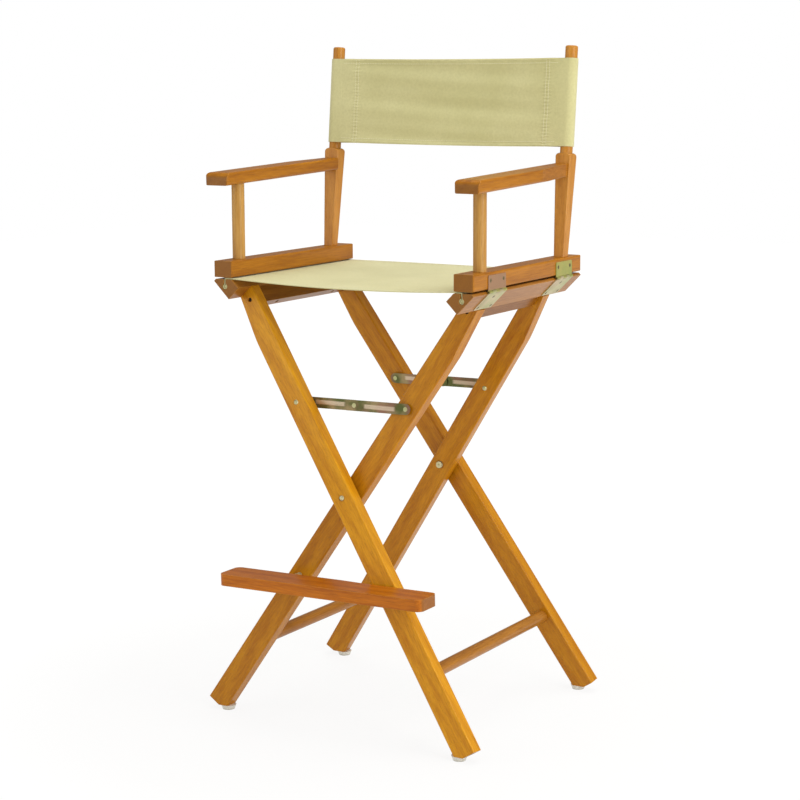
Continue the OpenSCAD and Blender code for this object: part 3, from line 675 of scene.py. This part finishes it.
def sheet_mesh(name, rows, columns, point, material):
    verts = [point(i, j) for i in range(rows) for j in range(columns)]
    faces = [
        (i * columns + j, i * columns + j + 1, (i + 1) * columns + j + 1, (i + 1) * columns + j)
        for i in range(rows - 1)
        for j in range(columns - 1)
    ]
    mesh = bpy.data.meshes.new(name)
    mesh.from_pydata([tuple(v) for v in verts], [], faces)
    mesh.polygons.foreach_set("use_smooth", [True] * len(mesh.polygons))
    mesh.materials.append(material)
    obj = bpy.data.objects.new(name, mesh)
    bpy.context.scene.collection.objects.link(obj)
    thickness = obj.modifiers.new("Cloth thickness", "SOLIDIFY")
    thickness.thickness = CLOTH_THICK
    thickness.offset = 0.0
    crisp = obj.modifiers.new("Crisp cut edges", "EDGE_SPLIT")
    crisp.split_angle = math.radians(50)
    return obj


def resample(points, spacing):
    """Points at an even spacing along a line of corners."""
    points = np.array(points, float)
    steps = np.linalg.norm(np.diff(points, axis=0), axis=1)
    along = np.concatenate([[0], np.cumsum(steps)])
    count = max(2, int(round(along[-1] / spacing)) + 1)
    marks = np.linspace(0, along[-1], count)
    return np.stack([np.interp(marks, along, points[:, k]) for k in range(points.shape[1])], axis=1)


def soft_step(past, run):
    """One well inside a limit and zero well past it, with a soft step between."""
    return 1 / (1 + math.exp(past / run))


print("cloth thickness, mm:", 1000 * CLOTH_THICK)

# %% [markdown]
# ## The seat canvas
#
# The seat is one strip of canvas. Each side has a tube hem with a thin rod in
# it. The rod is too thick to pull through the slot in the lower rail, so the
# canvas comes up the slot, turns inward over the rail and crosses to the other
# side, where it does the same. It is stretched tight: the front edge sags a few
# millimetres, the back edge hardly at all, and both edges have a doubled hem.

# %% Draw the profile of the seat canvas
ROOM_ROUND_ROD, ROOM_OVER_RAIL = 0.0003, 0.0002
rod_x, rod_z = (ROD_LOW.x + ROD_HIGH.x) / 2, (ROD_LOW.z + ROD_HIGH.z) / 2
loop_r = (ROD_HIGH.x - ROD_LOW.x) / 2 + CLOTH_THICK / 2 + ROOM_ROUND_ROD
over_rail = LOWER_HIGH.z + ROOM_OVER_RAIL + CLOTH_THICK / 2
GROOVE_FROM_EDGE, SAG, TURN_R = 0.0148, 0.0052, 0.0018
rail_edge = rod_x - GROOVE_FROM_EDGE


def arc(x, z, radius, degrees):
    """Points round a centre, at the given angles."""
    turns = [math.radians(a) for a in degrees]
    return [(x + radius * math.cos(t), z + radius * math.sin(t)) for t in turns]


# The cloth goes nearly once round the rod, then up the slot and in over the rail.
hem = arc(rod_x, rod_z, loop_r, range(112, 441, 12))
turn_in = arc(rod_x - TURN_R, over_rail - TURN_R, TURN_R, range(0, 91, 15))
half = resample(hem + turn_in + [(rail_edge, over_rail)], 0.0012)
span = [
    (x, over_rail - SAG * (1 - (x / rail_edge) ** 2))
    for x in np.linspace(rail_edge, -rail_edge, 88)
]
profile = [*map(tuple, half[:-1]), *span, *[(-x, z) for x, z in half[::-1][1:]]]
profile = np.array(profile)

# %% Build the seat canvas
SEAT_ROWS = 97
seat_ys = np.linspace(CLOTH_LOW.y, CLOTH_HIGH.y, SEAT_ROWS)
HEM_WIDTH, DOUBLED = 0.012, 0.0004
RIPPLE_HIGH, RIPPLE_PITCH, RIPPLE_REACH = 0.0007, 0.047, 0.03
SLACK_HIGH, TIGHT_AT_BACK = 0.0008, 0.92


def seat_point(i, j):
    """Ripples start at the rails, the sag fades to the back, and the hems are doubled."""
    x, z = profile[j]
    y = seat_ys[i]
    inside = max(0.0, 1 - (x / rail_edge) ** 2) if abs(x) < rail_edge else 0.0
    near_rail = math.exp(-(rail_edge - abs(x)) / RIPPLE_REACH) if abs(x) < rail_edge else 0.0
    ripple = RIPPLE_HIGH * near_rail * inside**0.5
    ripple *= math.sin(y * 2 * math.pi / RIPPLE_PITCH + 1.3)
    from_edge = min(y - CLOTH_LOW.y, CLOTH_HIGH.y - y)
    hem_step = DOUBLED * soft_step(from_edge - HEM_WIDTH, 0.0006)
    slack = SLACK_HIGH * inside * math.sin(y * 9.0 + x * 4.0)
    towards_back = (y - CLOTH_LOW.y) / (CLOTH_HIGH.y - CLOTH_LOW.y)
    tight = TIGHT_AT_BACK * SAG * inside * towards_back
    return (x, y, z + (ripple + slack + tight + hem_step if abs(x) < rod_x else 0.0))


seat = sheet_mesh("seat_canvas_sewn", SEAT_ROWS, len(profile), seat_point, seat_cloth)
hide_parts("seat_canvas")
print("seat faces:", len(seat.data.polygons))

# %% [markdown]
# The ends of the tube hems are tucked in, so that they hide the ends of the
# rods. Each is a small domed plug of cloth in the mouth of the hem.

# %% Tuck in the ends of the hems
PLUG_RINGS, PLUG_SIDES = 5, 24
RIM_INSIDE, DOME_HIGH = 0.0024, 0.0018


def hem_plug(name, x, mouth_y, inward, body):
    radius = loop_r - CLOTH_THICK / 2
    verts, faces = [], []
    for ring in range(PLUG_RINGS):
        lift = math.pi / 2 * ring / PLUG_RINGS
        for k in range(PLUG_SIDES):
            turn = 2 * math.pi * k / PLUG_SIDES
            verts.append(
                (
                    x + radius * math.cos(lift) * math.cos(turn),
                    mouth_y + inward * (RIM_INSIDE - DOME_HIGH * math.sin(lift)),
                    rod_z + radius * math.cos(lift) * math.sin(turn),
                )
            )
    verts.append((x, mouth_y + inward * (RIM_INSIDE - DOME_HIGH), rod_z))
    for ring in range(PLUG_RINGS - 1):
        for k in range(PLUG_SIDES):
            a, b = ring * PLUG_SIDES + k, ring * PLUG_SIDES + (k + 1) % PLUG_SIDES
            faces.append((a, b, b + PLUG_SIDES, a + PLUG_SIDES))
    last = (PLUG_RINGS - 1) * PLUG_SIDES
    faces += [(last + k, last + (k + 1) % PLUG_SIDES, len(verts) - 1) for k in range(PLUG_SIDES)]
    faces.append(tuple(range(PLUG_SIDES))[::-1])
    mesh = bpy.data.meshes.new(name)
    mesh.from_pydata(verts, [], faces)
    mesh.polygons.foreach_set("use_smooth", [len(f.vertices) < 5 for f in mesh.polygons])
    mesh.materials.append(seat_cloth)
    plug = bpy.data.objects.new(name, mesh)
    bpy.context.scene.collection.objects.link(plug)
    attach(plug, body)


for side, sign, body in (("left", -1, "outer_frame"), ("right", 1, "inner_frame")):
    hem_plug(f"{side}_front_hem_end", sign * rod_x, CLOTH_LOW.y, 1, body)
    hem_plug(f"{side}_rear_hem_end", sign * rod_x, CLOTH_HIGH.y, -1, body)
room = ROD_LOW.y - CLOTH_LOW.y
print("room between the mouth of the hem and the rod, mm:", round(1000 * room, 1))

# %% [markdown]
# ## Stitches
#
# A row of lockstitch shows as short raised dashes of thread. Each dash here is
# a small six-sided spindle, long enough to read as thread from close by. One
# mesh holds all the rows of a canvas, which keeps the scene light.

# %% A row of stitches along a line
STITCH_PITCH, STITCH_LENGTH, STITCH_WIDTH = 0.0036, 0.0026, 0.0009
SPINDLE = ((-0.5, 0.35), (-0.25, 1.0), (0.25, 1.0), (0.5, 0.35))
SPINDLE_SIDES, STEP = 6, 0.0005
THREAD_LIFT = CLOTH_THICK / 2 + 0.0001


def at_mark(mark, along, values):
    """The place or normal at one distance along a line."""
    mark = min(max(mark, 0), along[-1])
    return np.array([np.interp(mark, along, values[:, k]) for k in range(3)])


def stitch_row(verts, faces, points, normals):
    """Add one spindle of thread at every pitch along the line."""
    points, normals = np.array(points, float), np.array(normals, float)
    steps = np.linalg.norm(np.diff(points, axis=0), axis=1)
    along = np.concatenate([[0], np.cumsum(steps)])
    for mark in np.arange(STITCH_PITCH / 2, along[-1], STITCH_PITCH):
        centre = at_mark(mark, along, points)
        forward = at_mark(mark + STEP, along, points) - at_mark(mark - STEP, along, points)
        forward /= np.linalg.norm(forward)
        side = np.cross(at_mark(mark, along, normals), forward)
        side /= np.linalg.norm(side)
        up = np.cross(forward, side)
        first = len(verts)
        for share, girth in SPINDLE:
            for k in range(SPINDLE_SIDES):
                angle = 2 * math.pi * k / SPINDLE_SIDES
                verts.append(
                    centre
                    + forward * share * STITCH_LENGTH
                    + side * math.cos(angle) * girth * STITCH_WIDTH / 2
                    + up * math.sin(angle) * girth * STITCH_WIDTH / 2
                )
        last = first + (len(SPINDLE) - 1) * SPINDLE_SIDES
        for ring in range(first, last, SPINDLE_SIDES):
            for k in range(SPINDLE_SIDES):
                a, b = ring + k, ring + (k + 1) % SPINDLE_SIDES
                faces.append((a, b, b + SPINDLE_SIDES, a + SPINDLE_SIDES))
        faces.append(tuple(first + k for k in reversed(range(SPINDLE_SIDES))))
        faces.append(tuple(last + k for k in range(SPINDLE_SIDES)))


def stitch_piece(name, rows):
    verts, faces = [], []
    for points, normals in rows:
        stitch_row(verts, faces, points, normals)
    mesh = bpy.data.meshes.new(name)
    mesh.from_pydata([tuple(v) for v in verts], [], faces)
    mesh.polygons.foreach_set("use_smooth", [True] * len(mesh.polygons))
    mesh.materials.append(thread)
    obj = bpy.data.objects.new(name, mesh)
    bpy.context.scene.collection.objects.link(obj)
    return obj


def seat_line(y):
    """A line across the top of the seat, from rail to rail."""
    i = int(np.argmin(abs(seat_ys - y)))
    keep = [j for j in range(len(profile)) if abs(profile[j][0]) < rail_edge - 0.002]
    lift = (0, y - seat_ys[i], THREAD_LIFT)
    points = [np.array(seat_point(i, j)) + lift for j in keep]
    return points, [(0, 0, 1)] * len(points)


SEAT_ROW = 0.009
seat_stitches = stitch_piece(
    "seat_stitches", [seat_line(CLOTH_LOW.y + SEAT_ROW), seat_line(CLOTH_HIGH.y - SEAT_ROW)]
)
print("seat stitch faces:", len(seat_stitches.data.polygons))

# %% [markdown]
# ## The back canvas
#
# The back is one strip whose ends are folded round the posts and sewn to the
# strip itself with two rows of stitching, which makes a sleeve at each end. It
# slides off the posts when the chair is packed away. Here it is drawn in the
# posts' own leaning plane: `across` is X, `behind` is square to the cloth, and
# `up` runs along the post. Seen from in front, the sleeve on the left reaches
# farther in from its post than the one on the right.

# %% Turn the back's own measures into places
CANVAS_LOW, CANVAS_TALL = 0.1893, 0.151
SLEEVE_R, SPLIT_FROM_POST = 0.0120, 0.0165
SEAM_FROM_POST = {-1: 0.0490, 1: 0.0372}
PAST_SEAM = 0.006
FRONT = -SLEEVE_R
SPLIT_X = POST_X - SPLIT_FROM_POST
SEAMS = {sign: POST_X - inward for sign, inward in SEAM_FROM_POST.items()}


def from_seam(across):
    """How far outside its own seam a point lies. The two sleeves differ in width."""
    return abs(across) - SEAMS[1 if across > 0 else -1]


def back_place(across, behind, up):
    return Vector(
        (
            across,
            POST_FOOT.y + behind * math.cos(POST_LEAN) + up * math.sin(POST_LEAN),
            POST_FOOT.z - behind * math.sin(POST_LEAN) + up * math.cos(POST_LEAN),
        )
    )


def share_up(up):
    """Zero at the lower edge of the canvas and one at the upper edge."""
    return (up - CANVAS_LOW) / CANVAS_TALL


def to_edge(up):
    """How far a point lies from the nearer of the two edges."""
    return min(up - CANVAS_LOW, CANVAS_LOW + CANVAS_TALL - up)


print("back canvas leans", round(math.degrees(POST_LEAN), 1), "degrees")

# %% [markdown]
# Tight cloth is never flat. It dips a little between the posts, puckers at the
# seams and rolls at the hems, and soft folds run across it. Each of these is a
# small function, and the panel adds them up.

# %% Describe the dips, puckers, hems and folds
DIP_LOW, DIP_HIGH = -0.0024, -0.0020
PUCKER_DEEP, PUCKER_PITCH, PUCKER_REACH = 0.0005, 0.0058, 0.0062
ROLL_HIGH, ROLL_FROM_EDGE, ROLL_WIDE = 0.0011, 0.0022, 0.0016
FOLD_DEEP, SMALL_FOLD_DEEP, BELLY = 0.0015, 0.0006, 0.0022
CREASE_DEEP, CREASE_X, CREASE_WIDE = 0.0006, 0.010, 0.004


def edge_dip(across, up):
    """The strip hangs slightly between the posts."""
    middle = 1 - (across / POST_X) ** 2
    return middle * (DIP_LOW + (DIP_HIGH - DIP_LOW) * share_up(up))


def puckers(across, up):
    """The seam draws the cloth into short level wrinkles."""
    near_seam = math.exp(-((from_seam(across) / PUCKER_REACH) ** 2))
    wander = 1.6 * math.sin(up * 55 + 9 * across)
    return PUCKER_DEEP * near_seam * math.sin(up * 2 * math.pi / PUCKER_PITCH + wander)


def rolled_hem(up):
    """The folded edge stands a little proud, top and bottom."""
    return -ROLL_HIGH * math.exp(-(((to_edge(up) - ROLL_FROM_EDGE) / ROLL_WIDE) ** 2))


def waves(across, up):
    """Soft drawn folds between the sleeves, and a faint crease near the middle."""
    inside = max(0.0, 1 - (across / SPLIT_X) ** 2) ** 0.6
    share = share_up(up)
    folds = FOLD_DEEP * math.sin(share * 15 + 1.4 * math.sin(across * 7 + 0.5))
    folds += SMALL_FOLD_DEEP * math.sin(share * 31 + across * 12)
    crease = -CREASE_DEEP * math.exp(-(((across - CREASE_X) / CREASE_WIDE) ** 2))
    belly = BELLY * inside * math.sin(math.pi * share)
    return inside * (folds + crease) + belly


print("dip in the middle, mm:", round(-1000 * edge_dip(0, CANVAS_LOW), 1))

# %% Build the front panel of the back canvas
UPS = np.linspace(CANVAS_LOW, CANVAS_LOW + CANVAS_TALL, 115)
FINE_FROM = SEAMS[-1] - 0.013
FINE = np.linspace(FINE_FROM, SPLIT_X, 38)
COARSE = np.linspace(-FINE_FROM, FINE_FROM, 74)[1:-1]
ACROSS = np.concatenate([-FINE[::-1], COARSE, FINE])
BACK_HEM, JOIN_RUN = 0.010, 0.012


def seam_step(across, up):
    """Doubled cloth stands forward a little at the seams and the hems."""
    at_seam = soft_step(-(from_seam(across) + PAST_SEAM), 0.0008)
    at_hem = soft_step(to_edge(up) - BACK_HEM, 0.0007)
    join = min(1.0, (SPLIT_X - abs(across)) / JOIN_RUN)
    return (rolled_hem(up) + puckers(across, up) - DOUBLED * max(at_seam, at_hem)) * join


def panel_place(across, up):
    behind = FRONT + waves(across, up) + seam_step(across, up)
    return back_place(across, behind, up + edge_dip(across, up))


panel = sheet_mesh(
    "back_canvas_panel",
    len(UPS),
    len(ACROSS),
    lambda i, j: panel_place(ACROSS[j], UPS[i]),
    back_cloth,
)
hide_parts("back_canvas")
print("panel faces:", len(panel.data.polygons))

# %% [markdown]
# The part of the strip that comes back from behind the post leaves it at a
# tangent and runs to the seam. We find that tangent point, then cut the line
# where the sleeve ends and the panel begins.

# %% Find the line from the back of the post to the seam
LAYER_ROOM = 0.0006
SEAM_BEHIND = FRONT + CLOTH_THICK + LAYER_ROOM


def sleeve_lines(seam_x):
    """The line of the sleeve and of the flap, from the split round the post to the seam."""
    reach = math.hypot(POST_X - seam_x, SEAM_BEHIND)
    toward = math.atan2(SEAM_BEHIND, seam_x - POST_X)
    leave = toward - math.acos(SLEEVE_R / reach)
    if math.sin(leave) < 0:
        leave = toward + math.acos(SLEEVE_R / reach)
    tangent_x, tangent_behind = arc(POST_X, 0, SLEEVE_R, [math.degrees(leave)])[0]
    share = (SPLIT_X - seam_x) / (tangent_x - seam_x)
    split_back = (SPLIT_X, SEAM_BEHIND + share * (tangent_behind - SEAM_BEHIND))
    round_post = arc(POST_X, 0, SLEEVE_R, np.linspace(-90, math.degrees(leave) % 360, 30))
    flap_end = (seam_x - PAST_SEAM, SEAM_BEHIND)
    return [(SPLIT_X, FRONT), *round_post, split_back], [split_back, flap_end]


print("room between the two layers at a seam, mm:", 1000 * LAYER_ROOM)


# %% Build the sleeves and the flaps behind the panel
def strip(name, line, side):
    line = resample(line, 0.0015)
    obj = sheet_mesh(
        name,
        len(UPS),
        len(line),
        lambda i, j: back_place(
            side * line[j][0], line[j][1], UPS[i] + edge_dip(line[j][0], UPS[i])
        ),
        back_cloth,
    )
    return obj, float(np.linalg.norm(np.diff(line, axis=0), axis=1).sum())


sleeves, flaps, sleeve_cut, flap_cut = {}, {}, {}, {}
for side, sign in (("left", -1), ("right", 1)):
    sleeve_line, flap_line = sleeve_lines(SEAMS[sign])
    sleeves[side], sleeve_cut[side] = strip(f"{side}_back_sleeve", sleeve_line, sign)
    flaps[side], flap_cut[side] = strip(f"{side}_back_flap", flap_line, sign)
    cut = [round(1000 * width[side]) for width in (sleeve_cut, flap_cut)]
    print(side, "sleeve and flap, mm:", cut)

# %% Sew the back canvas
OUT = back_place(0, -1, 0) - back_place(0, 0, 0)
SEAM_ROWS, HEM_ROW = (-0.003, 0.003), 0.008
HEM_ROW_END = SPLIT_X - 0.003


def sewn_line(places):
    """The front of the panel along a line of places, and the way it faces."""
    points = [panel_place(across, up) + OUT * THREAD_LIFT for across, up in places]
    return points, [tuple(OUT)] * len(points)


seams = [
    sewn_line([(sign * (SEAMS[sign] + row), up) for up in UPS[1:-1]])
    for sign in (-1, 1)
    for row in SEAM_ROWS
]
hem_lines = [
    sewn_line([(across, up) for across in np.linspace(-HEM_ROW_END, HEM_ROW_END, 100)])
    for up in (CANVAS_LOW + CANVAS_TALL - HEM_ROW, CANVAS_LOW + HEM_ROW)
]
back_stitches = stitch_piece("back_stitches", seams + hem_lines)
print("back stitch faces:", len(back_stitches.data.polygons))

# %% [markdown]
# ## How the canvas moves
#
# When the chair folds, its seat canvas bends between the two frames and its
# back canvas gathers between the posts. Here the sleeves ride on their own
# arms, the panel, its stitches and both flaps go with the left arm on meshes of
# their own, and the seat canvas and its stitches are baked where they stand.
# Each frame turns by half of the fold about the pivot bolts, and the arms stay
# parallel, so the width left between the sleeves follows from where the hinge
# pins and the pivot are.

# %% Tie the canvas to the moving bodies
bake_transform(seat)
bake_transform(seat_stitches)
for side in ("left", "right"):
    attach(sleeves[side], f"{side}_arm")
for piece in (panel, back_stitches, flaps["left"], flaps["right"]):
    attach(piece, "left_arm")
    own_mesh(piece)
print("canvas tied to the frames")

# %% [markdown]
# ## A plain studio
#
# A white floor, large soft lamps and a white surround light the chair. The floor
# glows white to the camera and keeps only a faint shadow by the feet. Reflections
# see a dimmer surround, `MIRRORED`. That keeps a white veil off the varnish, but
# it also makes the metal darker than it would be in a truly white room. A
# big lamp on the right brightens the side faces of the legs, one above gives
# the tops their soft glare, and one in front on the left opens the shadows.

# %% Build the floor
SHADE_WITHIN, WHITE_BEYOND, LEAST_GLOW = 0.55, 1.2, 0.84
bpy.ops.mesh.primitive_plane_add(size=14, location=(0, 2.0, -0.0002))
floor = bpy.context.object
floor.name = "studio_floor"
floor_paint = bpy.data.materials.new("White studio floor")
floor_paint.use_nodes = True
tree = floor_paint.node_tree
shader = tree.nodes["Principled BSDF"]
shader.inputs["Base Color"].default_value = (0.72, 0.70, 0.66, 1)
shader.inputs["Roughness"].default_value = 0.9
light_path = add(tree, "ShaderNodeLightPath")
glow = add(tree, "ShaderNodeEmission", {"Color": (1, 1, 1, 1), "Strength": 1.04})
spot = add(tree, "ShaderNodeNewGeometry").outputs["Position"]
away = add(tree, "ShaderNodeVectorMath", {0: spot}, operation="LENGTH").outputs["Value"]
white_share = remap(tree, away, SHADE_WITHIN, WHITE_BEYOND, LEAST_GLOW, 1.0)
seen = maths(
    tree, "MAXIMUM", light_path.outputs["Is Camera Ray"], light_path.outputs["Is Glossy Ray"]
)
soften = add(
    tree,
    "ShaderNodeMixShader",
    {0: maths(tree, "MULTIPLY", seen, white_share), 1: shader.outputs[0], 2: glow.outputs[0]},
)
tree.links.new(soften.outputs[0], tree.nodes["Material Output"].inputs["Surface"])
floor.data.materials.append(floor_paint)
print("floor ready")

# %% Light the surround
SURROUND, MIRRORED = 0.62, 0.25
world = bpy.data.worlds.new("Studio")
bpy.context.scene.world = world
world.use_nodes = True
tree = world.node_tree
tree.nodes.clear()
light_path = add(tree, "ShaderNodeLightPath")
seen = maths(
    tree, "MAXIMUM", light_path.outputs["Is Camera Ray"], light_path.outputs["Is Transmission Ray"]
)
strength = maths(tree, "ADD", maths(tree, "MULTIPLY", seen, 1 - SURROUND), SURROUND)
dimmed = maths(tree, "MULTIPLY", light_path.outputs["Is Glossy Ray"], SURROUND - MIRRORED)
strength = maths(tree, "SUBTRACT", strength, dimmed)
backdrop = add(tree, "ShaderNodeBackground", {"Color": (1, 1, 1, 1), "Strength": strength})
tree.links.new(backdrop.outputs[0], add(tree, "ShaderNodeOutputWorld").inputs["Surface"])
print("surround ready")

# %% Hang the lamps
LAMP_TARGET = Vector((0, 0, 0.6))


def soft_lamp(name, place, size, watts):
    data = bpy.data.lights.new(name, "AREA")
    data.shape = "RECTANGLE"
    data.size, data.size_y = size
    data.energy = watts
    lamp = bpy.data.objects.new(name, data)
    bpy.context.scene.collection.objects.link(lamp)
    lamp.location = place
    aim = LAMP_TARGET - lamp.location
    lamp.rotation_euler = aim.to_track_quat("-Z", "Y").to_euler()


soft_lamp("right softbox", (2.6, -0.6, 1.5), (1.6, 2.2), 42)
soft_lamp("top softbox", (0.3, 0.4, 3.2), (2.2, 2.2), 41)
soft_lamp("left fill", (-2.4, -2.6, 1.4), (2.0, 2.0), 18)

# %% [markdown]
# ## The camera
#
# The camera stands to the right of the chair, three and a half metres away and
# almost as high as the tips of the back posts. It looks slightly down through a
# long lens that hardly distorts. Its place is written as an angle round the
# chair, a distance and a height.

# %% Place the camera
ROUND, AWAY, EYE = math.radians(30.788), 3.5007, 1.1296
DOWN, ROLL = math.radians(9.464), -0.00405
ahead = Vector(
    (-math.sin(ROUND) * math.cos(DOWN), math.cos(ROUND) * math.cos(DOWN), -math.sin(DOWN))
)
level_right = Vector((math.cos(ROUND), math.sin(ROUND), 0))
upright = level_right.cross(ahead)
right = level_right * math.cos(ROLL) + upright * math.sin(ROLL)
upright = right.cross(ahead)
lens = bpy.data.cameras.new("Studio camera")
lens.sensor_width = 36
lens.lens = 91.28
camera = bpy.data.objects.new("Studio camera", lens)
bpy.context.scene.collection.objects.link(camera)
turned = Matrix((right, upright, -ahead)).transposed()
camera.matrix_world = Matrix.LocRotScale(
    Vector((math.sin(ROUND) * AWAY, FEET_Y - math.cos(ROUND) * AWAY, EYE)), turned, None
)
lens.clip_end = 60
lens.shift_x = -0.0006
bpy.context.scene.camera = camera
bpy.context.scene.view_settings.view_transform = "Standard"
print("camera at", [round(v, 3) for v in camera.location])

# %% [markdown]
# ## Finish
#
# The sewn canvas must stay inside the space that the CAD part allows. Last, the
# view layer is brought up to date.

# %% Bring the scene up to date
bpy.context.view_layer.update()
